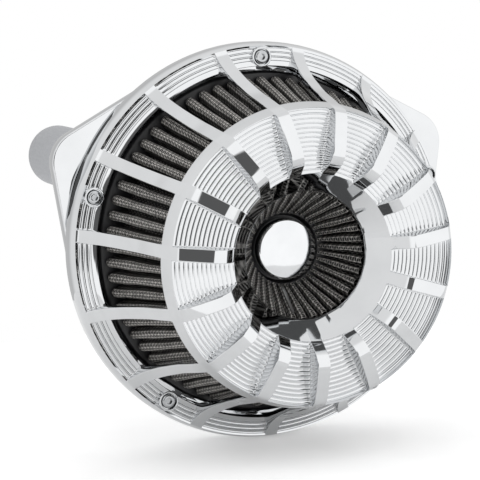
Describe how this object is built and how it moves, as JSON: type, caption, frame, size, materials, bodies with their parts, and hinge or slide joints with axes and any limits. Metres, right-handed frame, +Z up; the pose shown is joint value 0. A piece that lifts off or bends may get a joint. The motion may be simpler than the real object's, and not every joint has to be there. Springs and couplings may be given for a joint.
{
  "type": "motorcycle air filter",
  "caption": "Round chrome air cleaner: an open ribbed cover with a central funnel over a pleated cone filter, on an eared backing plate with breather standoffs.",
  "frame": {"origin": "centre of the throttle bore on the rear face of the throttle adapter, where the air cleaner meets the throttle body", "axes": "+Y points to the rear, along the filter axis towards the engine, so the front faces -Y; +Z is up, towards the side of the two ears; +X is to the right seen from the front"},
  "size_m": [0.1978, 0.1376, 0.1908],
  "materials": {
    "plate_chrome": "polished",
    "cover_chrome": "polished",
    "cap_chrome": "polished",
    "seal_rubber": "matte",
    "gasket_rubber": "matte",
    "o_ring_rubber": "satin",
    "adapter_aluminium": "satin",
    "standoff_aluminium": "matte",
    "filter_urethane": "satin",
    "filter_mesh": "matte",
    "steel": "satin",
    "clip_steel": "satin",
    "screw_steel": "polished"
  },
  "bodies": {
    "root": {"adapter_o_ring": "o_ring_rubber", "adapter_screw_1": "steel", "adapter_screw_2": "steel", "adapter_screw_3": "steel", "backing_plate": "plate_chrome", "breather_standoff_left": "standoff_aluminium", "breather_standoff_right": "standoff_aluminium", "centre_bolt": "steel", "centre_cap": "cap_chrome", "centre_washer": "steel", "cover": "cover_chrome", "cover_screw_1": "screw_steel", "cover_screw_2": "screw_steel", "cover_screw_3": "screw_steel", "cover_screw_4": "screw_steel", "cover_screw_5": "screw_steel", "cover_seal": "seal_rubber", "filter_base_ring": "filter_urethane", "filter_centre_plate": "filter_urethane", "filter_front_ring": "filter_urethane", "filter_inner_media": "filter_mesh", "filter_outer_media": "filter_mesh", "inner_media_seam_clip": "clip_steel", "standoff_o_ring_left": "o_ring_rubber", "standoff_o_ring_right": "o_ring_rubber", "throttle_adapter": "adapter_aluminium", "throttle_gasket": "gasket_rubber"}
  },
  "joints": []
}
